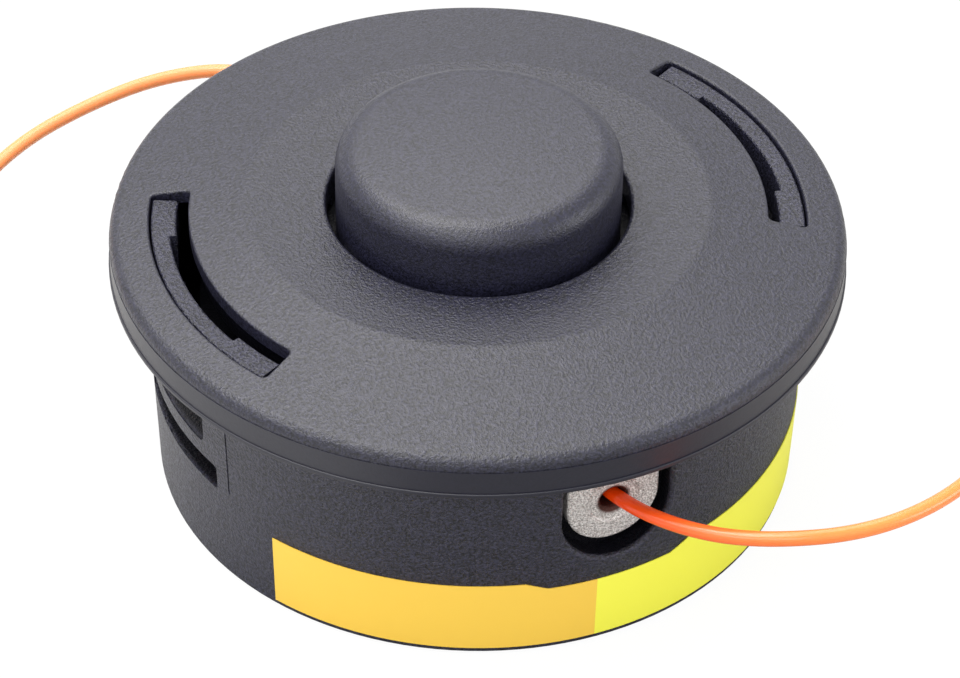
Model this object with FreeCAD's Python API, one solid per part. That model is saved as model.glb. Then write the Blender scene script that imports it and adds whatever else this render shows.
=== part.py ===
"""Bump feed trimmer head with two line tails, standing on its mounting side with the bump knob up.

The axis is Z and the base lies on Z = 0. The line leaves at -Y and +Y, and the latch tabs are at +X and -X.
Lengths are in millimetres and angles in degrees.
"""
import math
import os

import FreeCAD
import Part

V = FreeCAD.Vector
ORIGIN = V(0, 0, 0)
Z_AXIS = V(0, 0, 1)
ON_SURFACE = 1e-3

# Sizes that set the rest
FLANGE_RADIUS = 60.0
DRUM_HEIGHT = 39.4
KNOB_RADIUS = 23.1

# Drum of the housing
DRUM_TAPER = 1.14
DRUM_WALL = 2.4
FOOT_CHAMFER = 0.5
FLOOR_RECESS = 3.0
FLOOR_THICKNESS = 2.5
FLOOR_RIB_COUNT = 8
FLOOR_RIB_THICKNESS = 1.8
FLOOR_RIB_INSET = 0.8

# Centre of the housing
BOSS_HEIGHT = 16.0
POST_RADIUS = 10.5
POST_TOP_GAP = 3.4
POST_CHAMFER = 1.0
POST_TOP_WALL = 2.5
SPINDLE_ROOM_RADIUS = 5.6
GUIDE_RING_WALL = 2.0
GUIDE_RING_REACH = 2.5

# Threaded insert for the spindle, M10 by 1 left-hand, bored to the thread's minor diameter
THREAD_MINOR_RADIUS = 4.46
INSERT_ACROSS_FLATS = 17.0
INSERT_HEX_LENGTH = 5.6
INSERT_SHANK_RADIUS = 8.0
INSERT_LENGTH = 13.0
INSERT_SEAT_WALL = 3.0
INSERT_FLANGE_THICKNESS = 2.0
INSERT_DEPTH = 0.4
INSERT_CHAMFER = 0.6
INSERT_CLEARANCE = 0.05

# Cover
RIM_OVERHANG = 5.6
RIM_LIP_HEIGHT = 0.8
RIM_LIP_REACH = 0.25
RIM_LIP_FILLET = 0.2
RIM_BAND = 4.95
RIM_STEP = 0.1
RIM_HEIGHT = 7.45
SHOULDER_FILLET = 2.2
RIDGE_INSET = 9.3
RIDGE_RISE = 3.8
HOLE_EDGE_DROP = 0.55
HOLE_EDGE_FILLET = 0.6
HOLE_GAP = 1.54
COVER_WALL = 2.4
COLLAR_WALL = 2.4
COLLAR_DEPTH = 4.0
SPIGOT_WALL = 2.1
SPIGOT_DEPTH = 2.6
SPIGOT_CLEARANCE = 0.3
COVER_RIB_THICKNESS = 1.6
COVER_RIB_ANGLES = (36, 54, 72, 90, 108, 126, 144)

# Latch tabs, end posts and the cover's arc slots
SLOT_INSET = 1.2
SLOT_WIDTH = 6.4
SLOT_HALF_ANGLE = 27.9
SLOT_CORNER = 1.0
SLOT_EDGE_FILLET = 0.4
SLOT_WALL = 1.8
LATCH_DROP = 0.6
LATCH_OUTER_GAP = 0.3
TAB_THICKNESS = 1.8
TAB_HALF_ANGLE = 16.4
TAB_RAMP_START = 23.2
TAB_RAMP_END = 30.0
SLIT_ANGLE = 18.9
SLIT_WIDTH = 0.3
SLIT_FOOT = 18.7
POST_END_GAP = 0.95
END_POST_THICKNESS = 4.15
END_POST_FOOT = 30.0
LEDGE_REACH = 1.2
LEDGE_HEIGHT = 2.3
LEDGE_CLEARANCE = 0.3
LEDGE_END_GAP = 0.8
SCOOP_HALF_ANGLE = 12.4
SCOOP_FOOT = 25.4
SCOOP_TOP_GAP = 2.0
SCOOP_RAMP_END = 29.4
SCOOP_EDGE_DEPTH = 0.25
SCOOP_DEPTH = 4.8
SCOOP_WALL = 1.6
SCOOP_CORNER = 1.5
WINDOW_HALF_ANGLE = 15.7
WINDOW_FOOT = 17.6
WINDOW_HEIGHT = 4.9
WINDOW_CORNER = 0.7

# Line eyelets and the pockets that hold them
EYELET_DROP = 11.4
EYELET_HALF_WIDTH = 7.9
EYELET_FACE_DEPTH = 2.3
EYELET_PLATE = 1.7
EYELET_INNER_PLATE = 1.6
EYELET_NECK_HALF_WIDTH = 5.6
EYELET_BORE_RADIUS = 1.9
EYELET_MOUTH_RADIUS = 3.0
EYELET_EDGE = 0.4
EYELET_CLEARANCE = 0.1
EYELET_TOP_GAP = 0.3
POCKET_DROP = 0.9
POCKET_HALF_WIDTH = 9.2
POCKET_EDGE_FILLET = 0.7
POCKET_WALL = 2.0
POCKET_FLOOR = 2.0

# Spool and bump knob, one moulding
KNOB_REACH = 11.4
KNOB_CROWN_RADIUS = 230.0
KNOB_FILLET = 4.2
KNOB_TOP_WALL = 3.2
HUB_WALL = 2.6
HUB_INNER_FILLET = 2.5
HUB_CLEARANCE = 0.3
HUB_RIB_COUNT = 6
HUB_RIB_THICKNESS = 1.8
HUB_RIB_DROP = 3.8
SPOOL_SIDE_GAP = 1.3
SPOOL_FLANGE_THICKNESS = 2.0
SPOOL_DIVIDER_THICKNESS = 1.8

# Index dogs that let the spool turn one step for each bump
BUMP_TRAVEL = 6.0
DOG_COUNT = 6
DOG_HALF_ANGLE = 7.0
DOG_HEIGHT = 2.2
DOG_SIDE_GAP = 1.0
DOG_CLEARANCE = 0.3
DOG_REACH = 2.1

# Feed spring
SPRING_WIRE = 1.6
SPRING_OUTER_GAP = 1.0
SPRING_INNER_GAP = 1.8
SPRING_TURNS = 4.5

# Trimmer line
LINE_DIAMETER = 2.4
LINE_TURNS_PER_LAYER = 4
CHAMBER_SLACK = 0.4
CHAMBER_FILL = 0.66
WINDING_CLEARANCE = 0.05
SCALLOP_DEPTH = 0.7
# Routes of the two tails, each from inside its eyelet to the cut end.
# A point is the distance across the eyelet's face, out from the face, and up from the eyelet's centre.
FRONT_TAIL_ROUTE = [
    (-0.5, -5.3, 0.0),
    (0.8, 1.5, 0.0),
    (7.5, 12.6, 0.7),
    (16.1, 20.7, 1.9),
    (30.4, 25.3, 2.7),
    (45.6, 23.2, 2.9),
    (60.0, 15.8, 2.7),
    (72.4, 5.0, 2.4),
    (81.4, -8.8, 2.0),
    (86.0, -23.8, 1.6),
]
REAR_TAIL_ROUTE = [
    (-0.2, -5.3, 0.0),
    (0.5, 3.0, 0.1),
    (5.6, 13.6, 1.2),
    (13.5, 22.8, 2.3),
    (27.2, 25.4, 2.8),
    (42.0, 22.4, 3.0),
    (56.2, 16.2, 2.8),
    (69.2, 6.4, 2.5),
    (79.2, -6.5, 2.1),
    (85.8, -20.5, 1.7),
]
TAIL_ARC_SHARE = 0.45

# Label band round the front of the drum, angles from +X
LABEL_START_ANGLE = 209.0
LABEL_END_ANGLE = 337.0
LABEL_FOOT = 1.35
LABEL_TOP = 15.15
LABEL_THICKNESS = 0.15
LABEL_CLEARANCE = 0.02
LABEL_NOTCH_ANGLE = 269.5
LABEL_NOTCH_HALF_WIDTH = 10.6
LABEL_NOTCH_RAMP = 3.6
LABEL_NOTCH_DEPTH = 1.5

# Worked-out radii
DRUM_TOP_RADIUS = FLANGE_RADIUS - RIM_OVERHANG
DRUM_FOOT_RADIUS = DRUM_TOP_RADIUS - DRUM_TAPER
RIM_INNER_RADIUS = FLANGE_RADIUS - COVER_WALL
BAND_RADIUS = FLANGE_RADIUS - RIM_LIP_REACH
SHOULDER_RADIUS = BAND_RADIUS - RIM_STEP
CONE_OUTER_RADIUS = SHOULDER_RADIUS - SHOULDER_FILLET
SPIGOT_RADIUS = DRUM_TOP_RADIUS - DRUM_WALL - SPIGOT_CLEARANCE
SPIGOT_INNER_RADIUS = SPIGOT_RADIUS - SPIGOT_WALL
SLOT_OUTER_RADIUS = DRUM_TOP_RADIUS - SLOT_INSET
SLOT_INNER_RADIUS = SLOT_OUTER_RADIUS - SLOT_WIDTH
LATCH_RADIUS = SLOT_OUTER_RADIUS - LATCH_OUTER_GAP
LEDGE_RADIUS = SLOT_OUTER_RADIUS - LEDGE_REACH
TAB_NECK_RADIUS = LEDGE_RADIUS - LEDGE_CLEARANCE
TAB_INNER_RADIUS = TAB_NECK_RADIUS - TAB_THICKNESS
SCOOP_BACK_RADIUS = DRUM_TOP_RADIUS - SCOOP_DEPTH
RIDGE_RADIUS = SLOT_INNER_RADIUS - RIDGE_INSET
SPOOL_FLANGE_RADIUS = SLOT_INNER_RADIUS - SPOOL_SIDE_GAP
WINDING_OUTER_RADIUS = KNOB_RADIUS + CHAMBER_FILL * (SPOOL_FLANGE_RADIUS - KNOB_RADIUS)
HOLE_RADIUS = KNOB_RADIUS + HOLE_GAP
DOG_OUTER_RADIUS = HOLE_RADIUS + DOG_REACH
HUB_BORE = KNOB_RADIUS - HUB_WALL
GUIDE_RING_RADIUS = HUB_BORE - HUB_CLEARANCE
SPRING_MEAN_RADIUS = GUIDE_RING_RADIUS - GUIDE_RING_WALL - SPRING_OUTER_GAP - SPRING_WIRE / 2
BOSS_RADIUS = SPRING_MEAN_RADIUS - SPRING_WIRE / 2 - SPRING_INNER_GAP
INSERT_FLANGE_RADIUS = BOSS_RADIUS - INSERT_SEAT_WALL

# Worked-out heights
FLOOR_TOP = FLOOR_RECESS + FLOOR_THICKNESS
RIM_TOP = DRUM_HEIGHT + RIM_HEIGHT
RIDGE_HEIGHT = RIM_TOP + RIDGE_RISE
HOLE_EDGE_HEIGHT = RIDGE_HEIGHT - HOLE_EDGE_DROP
KNOB_TOP = RIDGE_HEIGHT + KNOB_REACH
POST_TOP = KNOB_TOP - KNOB_TOP_WALL - BUMP_TRAVEL - POST_TOP_GAP
LEDGE_FOOT = DRUM_HEIGHT + LEDGE_CLEARANCE
LIP_FOOT = LEDGE_FOOT + LEDGE_HEIGHT + LEDGE_CLEARANCE
SCOOP_TOP = DRUM_HEIGHT - SCOOP_TOP_GAP
EYELET_Z = DRUM_HEIGHT - EYELET_DROP
POCKET_Z = EYELET_Z - POCKET_DROP
COLLAR_FOOT = HOLE_EDGE_HEIGHT - COLLAR_DEPTH
COLLAR_DOG_TIP = COLLAR_FOOT - DOG_HEIGHT
SPOOL_TOP = COLLAR_DOG_TIP - DOG_CLEARANCE
TOP_FLANGE_FOOT = SPOOL_TOP - SPOOL_FLANGE_THICKNESS
CHAMBER_HEIGHT = LINE_TURNS_PER_LAYER * LINE_DIAMETER + CHAMBER_SLACK
UPPER_CHAMBER_FOOT = TOP_FLANGE_FOOT - CHAMBER_HEIGHT
DIVIDER_FOOT = UPPER_CHAMBER_FOOT - SPOOL_DIVIDER_THICKNESS
LOWER_CHAMBER_FOOT = DIVIDER_FOOT - CHAMBER_HEIGHT
SPOOL_FOOT = LOWER_CHAMBER_FOOT - SPOOL_FLANGE_THICKNESS
GUIDE_RING_TOP = SPOOL_FOOT + GUIDE_RING_REACH
HOUSING_DOG_TOP = SPOOL_FOOT - BUMP_TRAVEL - DOG_CLEARANCE
HUB_RIB_FOOT = SPOOL_TOP - HUB_RIB_DROP
DOG_PITCH = 360 / DOG_COUNT


def drum_radius(z):
    """Outside radius of the tapered drum at a height."""
    return DRUM_FOOT_RADIUS + (DRUM_TOP_RADIUS - DRUM_FOOT_RADIUS) * z / DRUM_HEIGHT


def drum_bore(z):
    """Inside radius of the drum at a height."""
    return drum_radius(z) - DRUM_WALL


def cone_height(radius):
    """Height of the cover's outer cone at a radius."""
    slope = (RIDGE_HEIGHT - RIM_TOP) / (CONE_OUTER_RADIUS - RIDGE_RADIUS)
    return RIM_TOP + slope * (CONE_OUTER_RADIUS - radius)


LATCH_TOP = cone_height(LATCH_RADIUS) - LATCH_DROP
EYELET_FACE = drum_radius(EYELET_Z) - EYELET_FACE_DEPTH
POCKET_FLOOR_FACE = EYELET_FACE - EYELET_PLATE - EYELET_CLEARANCE
POCKET_BACK = POCKET_FLOOR_FACE - POCKET_FLOOR
EYELET_BACK = POCKET_BACK - EYELET_CLEARANCE - EYELET_INNER_PLATE
EYELET_TOP = DRUM_HEIGHT - EYELET_TOP_GAP


def turned(shape, angle):
    """A copy of a shape turned about the head's axis."""
    copy = shape.copy()
    copy.rotate(ORIGIN, Z_AXIS, angle)
    return copy


def pair(shape):
    """A shape and its copy on the opposite side."""
    return [shape, turned(shape, 180)]


def pattern(shape, count):
    """Copies of a shape evenly spaced round the axis."""
    return [turned(shape, 360 * i / count) for i in range(count)]


def corner_arc(before, corner, after, radius):
    """Start, middle and end of the tangent arc that rounds a corner."""
    back = (before - corner).normalize()
    on = (after - corner).normalize()
    half = back.getAngle(on) / 2
    inward = (back + on).normalize()
    reach = radius / math.tan(half)
    middle = corner + inward * (radius / math.sin(half) - radius)
    return corner + back * reach, middle, corner + on * reach


def outline(corners):
    """Closed section through the axis. A corner is (r, z), (r, z, fillet) or ("through", r, z) on an arc."""
    points = [V(c[1], 0, c[2]) if c[0] == "through" else V(c[0], 0, c[1]) for c in corners]
    count = len(corners)
    starts, ends, edges = {}, {}, []
    for i, corner in enumerate(corners):
        if corner[0] == "through":
            continue
        starts[i] = ends[i] = points[i]
        if len(corner) == 3:
            following = points[(i + 1) % count]
            starts[i], middle, ends[i] = corner_arc(points[i - 1], points[i], following, corner[2])
            edges.append(Part.Arc(starts[i], middle, ends[i]).toShape())
    for i in starts:
        after = (i + 1) % count
        if corners[after][0] == "through":
            edges.append(Part.Arc(ends[i], points[after], starts[(after + 1) % count]).toShape())
        elif ends[i].distanceToPoint(starts[after]) > 1e-6:
            edges.append(Part.LineSegment(ends[i], starts[after]).toShape())
    return Part.Wire(Part.__sortEdges__(edges))


def revolved(corners, start=0, sweep=360):
    """A section turned about the axis, from a start angle."""
    return turned(Part.Face(outline(corners)).revolve(ORIGIN, Z_AXIS, sweep), start)


def ring_sector(inner, outer, foot, top, centre, half_angle):
    """A block between two radii and two heights, over an angle each side of its centre."""
    section = [(inner, foot), (outer, foot), (outer, top), (inner, top)]
    return revolved(section, centre - half_angle, 2 * half_angle)


def u_prism(half_width, centre_z, top, near, far):
    """A block at -Y with a U-shaped outline, open side up, between two distances from the axis."""
    left, right = V(-half_width, -near, top), V(half_width, -near, top)
    left_foot, right_foot = V(-half_width, -near, centre_z), V(half_width, -near, centre_z)
    bottom = V(0, -near, centre_z - half_width)
    edges = [
        Part.LineSegment(left, left_foot).toShape(),
        Part.Arc(left_foot, bottom, right_foot).toShape(),
        Part.LineSegment(right_foot, right).toShape(),
        Part.LineSegment(right, left).toShape(),
    ]
    return Part.Face(Part.Wire(edges)).extrude(V(0, near - far, 0))


def rounded_window(half_width, foot, top, corner, near, far):
    """A block at +X with rounded corners, between two distances from the axis."""
    box = Part.makeBox(far - near, 2 * half_width, top - foot, V(near, -half_width, foot))
    along = [e for e in box.Edges if abs(e.tangentAt(e.FirstParameter).x) > 0.9]
    return box.makeFillet(corner, along)


def hexagon(across_flats, foot, top):
    """A hexagonal block on the axis."""
    radius = across_flats / math.sqrt(3)
    corners = [V(radius * math.cos(math.radians(60 * i)), radius * math.sin(math.radians(60 * i)), foot)
               for i in range(6)]
    return Part.Face(Part.makePolygon(corners + corners[:1])).extrude(V(0, 0, top - foot))


def joined(base, pieces):
    """Pieces fused to a base, with the seams between flush faces removed."""
    return base.multiFuse(pieces).removeSplitter()


def points_on(edge):
    """The middle of an edge and its ends."""
    middle = edge.valueAt((edge.FirstParameter + edge.LastParameter) / 2)
    return [middle] + [vertex.Point for vertex in edge.Vertexes]


def only_solid(shape):
    """The single solid of a finished piece."""
    if len(shape.Solids) != 1:
        raise ValueError(f"{len(shape.Solids)} solids where one piece was meant")
    return shape.Solids[0]


def housing_body():
    """Drum, floor, nut boss, centre post and guide ring as one turned section."""
    return revolved([
        (drum_radius(0) - FOOT_CHAMFER, 0),
        (drum_radius(FOOT_CHAMFER), FOOT_CHAMFER),
        (DRUM_TOP_RADIUS, DRUM_HEIGHT),
        (DRUM_TOP_RADIUS - DRUM_WALL, DRUM_HEIGHT),
        (drum_bore(FLOOR_TOP), FLOOR_TOP),
        (GUIDE_RING_RADIUS, FLOOR_TOP),
        (GUIDE_RING_RADIUS, GUIDE_RING_TOP),
        (GUIDE_RING_RADIUS - GUIDE_RING_WALL, GUIDE_RING_TOP),
        (GUIDE_RING_RADIUS - GUIDE_RING_WALL, FLOOR_TOP),
        (BOSS_RADIUS, FLOOR_TOP),
        (BOSS_RADIUS, BOSS_HEIGHT),
        (POST_RADIUS, BOSS_HEIGHT),
        (POST_RADIUS, POST_TOP - POST_CHAMFER),
        (POST_RADIUS - POST_CHAMFER, POST_TOP),
        (0, POST_TOP),
        (0, POST_TOP - POST_TOP_WALL),
        (SPINDLE_ROOM_RADIUS, POST_TOP - POST_TOP_WALL),
        (SPINDLE_ROOM_RADIUS, 0),
        (BOSS_RADIUS, 0),
        (BOSS_RADIUS, FLOOR_RECESS),
        (drum_bore(FLOOR_RECESS), FLOOR_RECESS),
        (drum_bore(0), 0),
    ])


def floor_rib():
    """One stiffening rib under the floor, from the boss to the drum wall."""
    length = drum_bore(0) - BOSS_RADIUS + DRUM_WALL / 2
    return Part.makeBox(length, FLOOR_RIB_THICKNESS, FLOOR_RECESS + FLOOR_THICKNESS / 2 - FLOOR_RIB_INSET,
                        V(BOSS_RADIUS - DRUM_WALL / 4, -FLOOR_RIB_THICKNESS / 2, FLOOR_RIB_INSET))


def housing_dog():
    """One index dog on the housing floor, in the path of the pressed spool's dogs."""
    return ring_sector(GUIDE_RING_RADIUS - GUIDE_RING_WALL / 2, DOG_OUTER_RADIUS,
                       FLOOR_TOP - FLOOR_THICKNESS / 2, HOUSING_DOG_TOP, DOG_PITCH / 2, DOG_HALF_ANGLE)


def eyelet_pad():
    """The thicker wall round the front eyelet's pocket, trimmed to the drum."""
    pad = u_prism(POCKET_HALF_WIDTH + POCKET_WALL, POCKET_Z, EYELET_TOP, POCKET_BACK, FLANGE_RADIUS)
    drum = revolved([(0, 0), (DRUM_FOOT_RADIUS, 0), (DRUM_TOP_RADIUS, DRUM_HEIGHT), (0, DRUM_HEIGHT)])
    return pad.common(drum)


def eyelet_cuts():
    """The recess in front of the front eyelet's plate and the slot that its neck slides into."""
    recess = u_prism(POCKET_HALF_WIDTH, POCKET_Z, FLANGE_RADIUS, POCKET_FLOOR_FACE, FLANGE_RADIUS)
    neck = u_prism(EYELET_NECK_HALF_WIDTH + EYELET_CLEARANCE, EYELET_Z, FLANGE_RADIUS,
                   POCKET_BACK - POCKET_FLOOR, POCKET_FLOOR_FACE + POCKET_FLOOR)
    return [recess, neck]


def pocket_edges(moulding):
    """The outer edges of both eyelet pockets, where their sides meet the drum's surface."""
    lowest = POCKET_Z - POCKET_HALF_WIDTH - POCKET_WALL
    edges = []
    for edge in moulding.Edges:
        points = points_on(edge)
        on_drum = all(abs(math.hypot(p.x, p.y) - drum_radius(p.z)) < ON_SURFACE for p in points)
        beside = all(abs(p.x) < POCKET_HALF_WIDTH + ON_SURFACE for p in points)
        if on_drum and beside and lowest < points[0].z < EYELET_TOP:
            edges.append(edge)
    return edges


def latch_tab():
    """The sprung tab at +X: a wall that steps in behind the finger scoop and ends in a lip."""
    in_wall = DRUM_TOP_RADIUS - DRUM_WALL / 2
    return revolved([
        (in_wall, TAB_RAMP_START),
        (in_wall, DRUM_HEIGHT),
        (TAB_NECK_RADIUS, DRUM_HEIGHT),
        (TAB_NECK_RADIUS, LIP_FOOT),
        (LATCH_RADIUS, LIP_FOOT),
        (LATCH_RADIUS, LATCH_TOP, TAB_THICKNESS / 4),
        (TAB_INNER_RADIUS, LATCH_TOP, TAB_THICKNESS / 4),
        (TAB_INNER_RADIUS, TAB_RAMP_END),
        (drum_bore(TAB_RAMP_START), TAB_RAMP_START),
    ], -TAB_HALF_ANGLE, 2 * TAB_HALF_ANGLE)


def end_post():
    """The fixed post beside the tab that fills the end of the cover's slot."""
    in_wall = DRUM_TOP_RADIUS - DRUM_WALL / 2
    inner = LATCH_RADIUS - END_POST_THICKNESS
    ramp = drum_bore(END_POST_FOOT) - inner
    return revolved([
        (in_wall, END_POST_FOOT),
        (in_wall, DRUM_HEIGHT),
        (LATCH_RADIUS, DRUM_HEIGHT),
        (LATCH_RADIUS, LATCH_TOP, TAB_THICKNESS / 4),
        (inner, LATCH_TOP, TAB_THICKNESS / 4),
        (inner, END_POST_FOOT + ramp),
        (drum_bore(END_POST_FOOT), END_POST_FOOT),
    ], TAB_HALF_ANGLE, SLOT_HALF_ANGLE - POST_END_GAP - TAB_HALF_ANGLE)


def scoop_shell():
    """The wall behind the finger scoop at +X, which stands in from the tab."""
    in_wall = DRUM_TOP_RADIUS - DRUM_WALL / 2
    back = SCOOP_BACK_RADIUS - SCOOP_WALL
    foot = SCOOP_FOOT - SCOOP_WALL
    half_angle = SCOOP_HALF_ANGLE + math.degrees(SCOOP_WALL / SCOOP_BACK_RADIUS)
    return revolved([
        (in_wall, foot),
        (in_wall, SCOOP_TOP + SCOOP_WALL),
        (back, SCOOP_TOP + SCOOP_WALL),
        (back, SCOOP_RAMP_END),
        (drum_bore(foot), foot),
    ], -half_angle, 2 * half_angle)


def latch_cuts():
    """The finger scoop, the window at the tab's root and the two slits beside the tab at +X."""
    outside = FLANGE_RADIUS
    scoop_band = revolved([
        (drum_radius(SCOOP_FOOT) - SCOOP_EDGE_DEPTH, SCOOP_FOOT),
        (outside, SCOOP_FOOT),
        (outside, SCOOP_TOP),
        (SCOOP_BACK_RADIUS, SCOOP_TOP),
        (SCOOP_BACK_RADIUS, SCOOP_RAMP_END),
    ])
    scoop_half = drum_radius(SCOOP_FOOT) * math.sin(math.radians(SCOOP_HALF_ANGLE))
    scoop_outline = rounded_window(scoop_half, SCOOP_FOOT, SCOOP_TOP, SCOOP_CORNER, POST_RADIUS, outside)
    window_half = drum_radius(WINDOW_FOOT) * math.sin(math.radians(WINDOW_HALF_ANGLE))
    window = rounded_window(window_half, WINDOW_FOOT, WINDOW_FOOT + WINDOW_HEIGHT, WINDOW_CORNER,
                            SPOOL_FLANGE_RADIUS, outside)
    slit = Part.makeBox(outside - SPOOL_FLANGE_RADIUS, SLIT_WIDTH, LEDGE_FOOT - SLIT_FOOT,
                        V(SPOOL_FLANGE_RADIUS, -SLIT_WIDTH / 2, SLIT_FOOT))
    slits = [turned(slit, SLIT_ANGLE), turned(slit, -SLIT_ANGLE)]
    return [scoop_band.common(scoop_outline), window] + slits


def insert_pocket():
    """The flange seat, hexagonal pocket and shank hole that hold the threaded insert."""
    foot = INSERT_DEPTH + INSERT_CLEARANCE
    seat = Part.makeCylinder(INSERT_FLANGE_RADIUS + INSERT_CLEARANCE, foot + INSERT_FLANGE_THICKNESS)
    hex_hole = hexagon(INSERT_ACROSS_FLATS + 2 * INSERT_CLEARANCE, 0, foot + INSERT_HEX_LENGTH)
    shank_hole = Part.makeCylinder(INSERT_SHANK_RADIUS + INSERT_CLEARANCE, foot + INSERT_LENGTH)
    return [seat, hex_hole, shank_hole]


def housing():
    """The drum with its latch tabs, eyelet pockets, index dogs and spindle boss, one moulding."""
    added = pattern(floor_rib(), FLOOR_RIB_COUNT) + pattern(housing_dog(), DOG_COUNT) + pair(eyelet_pad())
    post = end_post()
    for piece in (latch_tab(), scoop_shell(), post, post.mirror(ORIGIN, V(0, 1, 0))):
        added += pair(piece)
    removed = insert_pocket()
    for cut in eyelet_cuts() + latch_cuts():
        removed += pair(cut)
    moulding = joined(housing_body(), added).cut(removed)
    return moulding.makeFillet(POCKET_EDGE_FILLET, pocket_edges(moulding))


def cover_shell():
    """Rim, shoulder, sloping top, hole collar and spigot as one turned section of even wall."""
    under_ridge = RIDGE_HEIGHT - COVER_WALL
    rim_under = RIM_TOP - SHOULDER_FILLET
    return revolved([
        (RIM_INNER_RADIUS, DRUM_HEIGHT),
        (FLANGE_RADIUS, DRUM_HEIGHT, RIM_LIP_FILLET),
        (FLANGE_RADIUS, DRUM_HEIGHT + RIM_LIP_HEIGHT, RIM_LIP_FILLET),
        (BAND_RADIUS, DRUM_HEIGHT + RIM_LIP_HEIGHT),
        (BAND_RADIUS, DRUM_HEIGHT + RIM_BAND),
        (SHOULDER_RADIUS, DRUM_HEIGHT + RIM_BAND),
        (SHOULDER_RADIUS, cone_height(SHOULDER_RADIUS), SHOULDER_FILLET),
        (RIDGE_RADIUS, RIDGE_HEIGHT, COVER_WALL),
        (HOLE_RADIUS, HOLE_EDGE_HEIGHT, HOLE_EDGE_FILLET),
        (HOLE_RADIUS, COLLAR_FOOT),
        (HOLE_RADIUS + COLLAR_WALL, COLLAR_FOOT),
        (HOLE_RADIUS + COLLAR_WALL, HOLE_EDGE_HEIGHT - COVER_WALL),
        (RIDGE_RADIUS, under_ridge),
        (SPIGOT_INNER_RADIUS, cone_height(SPIGOT_INNER_RADIUS) - COVER_WALL),
        (SPIGOT_INNER_RADIUS, DRUM_HEIGHT - SPIGOT_DEPTH),
        (SPIGOT_RADIUS, DRUM_HEIGHT - SPIGOT_DEPTH),
        (SPIGOT_RADIUS, cone_height(SPIGOT_RADIUS) - COVER_WALL),
        (RIM_INNER_RADIUS, rim_under, SHOULDER_FILLET / 2),
    ])


def cover_rib(angle):
    """One rib across the channel behind the rim, which rests on the drum's top edge."""
    overlap = COVER_WALL / 4
    inner, outer = SPIGOT_RADIUS - overlap, RIM_INNER_RADIUS + overlap
    corners = [
        V(inner, 0, DRUM_HEIGHT),
        V(outer, 0, DRUM_HEIGHT),
        V(outer, 0, RIM_TOP - SHOULDER_FILLET),
        V(inner, 0, cone_height(SPIGOT_RADIUS) - COVER_WALL + overlap),
    ]
    rib = Part.Face(Part.makePolygon(corners + corners[:1])).extrude(V(0, COVER_RIB_THICKNESS, 0))
    rib.translate(V(0, -COVER_RIB_THICKNESS / 2, 0))
    return turned(rib, angle)


def collar_dog():
    """One index dog on the end of the hole's collar, which holds the spool until it is pressed."""
    centre = 2 * DOG_HALF_ANGLE + DOG_SIDE_GAP
    return ring_sector(HOLE_RADIUS, HOLE_RADIUS + COLLAR_WALL, COLLAR_DOG_TIP, COLLAR_FOOT + COLLAR_WALL / 2,
                       centre, DOG_HALF_ANGLE)


def slot_wall():
    """The wall that hangs round the outside of the slot at +X."""
    end = math.degrees(SLOT_WALL / SLOT_OUTER_RADIUS)
    overlap = COVER_WALL / 2
    return revolved([
        (SPIGOT_INNER_RADIUS, LEDGE_FOOT),
        (SLOT_OUTER_RADIUS + SLOT_WALL, LEDGE_FOOT),
        (SLOT_OUTER_RADIUS + SLOT_WALL, cone_height(SLOT_OUTER_RADIUS + SLOT_WALL) - overlap),
        (SPIGOT_INNER_RADIUS, cone_height(SPIGOT_INNER_RADIUS) - overlap),
    ], -SLOT_HALF_ANGLE - end, 2 * (SLOT_HALF_ANGLE + end))


def slot_cut():
    """The arc slot at +X, through the top and down through the spigot, with rounded corners."""
    block = ring_sector(SLOT_INNER_RADIUS, SLOT_OUTER_RADIUS, DRUM_HEIGHT - 2 * SPIGOT_DEPTH, KNOB_TOP, 0,
                        SLOT_HALF_ANGLE)
    upright = [e for e in block.Edges if abs(e.tangentAt(e.FirstParameter).z) > 0.9]
    return block.makeFillet(SLOT_CORNER, upright)


def catch_ledge():
    """The ledge under the tab's lip that holds the cover down."""
    gap = math.degrees(LEDGE_END_GAP / LEDGE_RADIUS)
    return ring_sector(LEDGE_RADIUS, SLOT_OUTER_RADIUS + SLOT_WALL / 2, LEDGE_FOOT,
                       LEDGE_FOOT + LEDGE_HEIGHT, 0, TAB_HALF_ANGLE - gap)


def spigot_gap():
    """The gap in the spigot over the front eyelet, which the cover holds down."""
    half = POCKET_HALF_WIDTH + POCKET_WALL + LEDGE_END_GAP
    return Part.makeBox(2 * half, RIM_INNER_RADIUS - SPIGOT_INNER_RADIUS + SPIGOT_WALL, 2 * SPIGOT_DEPTH,
                        V(-half, -RIM_INNER_RADIUS, DRUM_HEIGHT - 2 * SPIGOT_DEPTH))


def slot_edges(slotted):
    """The top edges of both slots, where their walls meet the cover's slope."""
    inner, outer = SLOT_INNER_RADIUS - ON_SURFACE, SLOT_OUTER_RADIUS + ON_SURFACE
    edges = []
    for edge in slotted.Edges:
        heights = [(math.hypot(p.x, p.y), p.z) for p in points_on(edge)]
        if all(inner < r < outer and abs(z - cone_height(r)) < ON_SURFACE for r, z in heights):
            edges.append(edge)
    return edges


def cover():
    """The flanged cover with its ribs, collar dogs, latch slots and ledges, one moulding."""
    ribs = [cover_rib(angle + side) for side in (0, 180) for angle in COVER_RIB_ANGLES]
    shell = joined(cover_shell(), ribs + pattern(collar_dog(), DOG_COUNT) + pair(slot_wall()))
    slotted = shell.cut(pair(slot_cut()) + pair(spigot_gap()))
    eased = slotted.makeFillet(SLOT_EDGE_FILLET, slot_edges(slotted))
    return joined(eased, pair(catch_ledge()))


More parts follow.
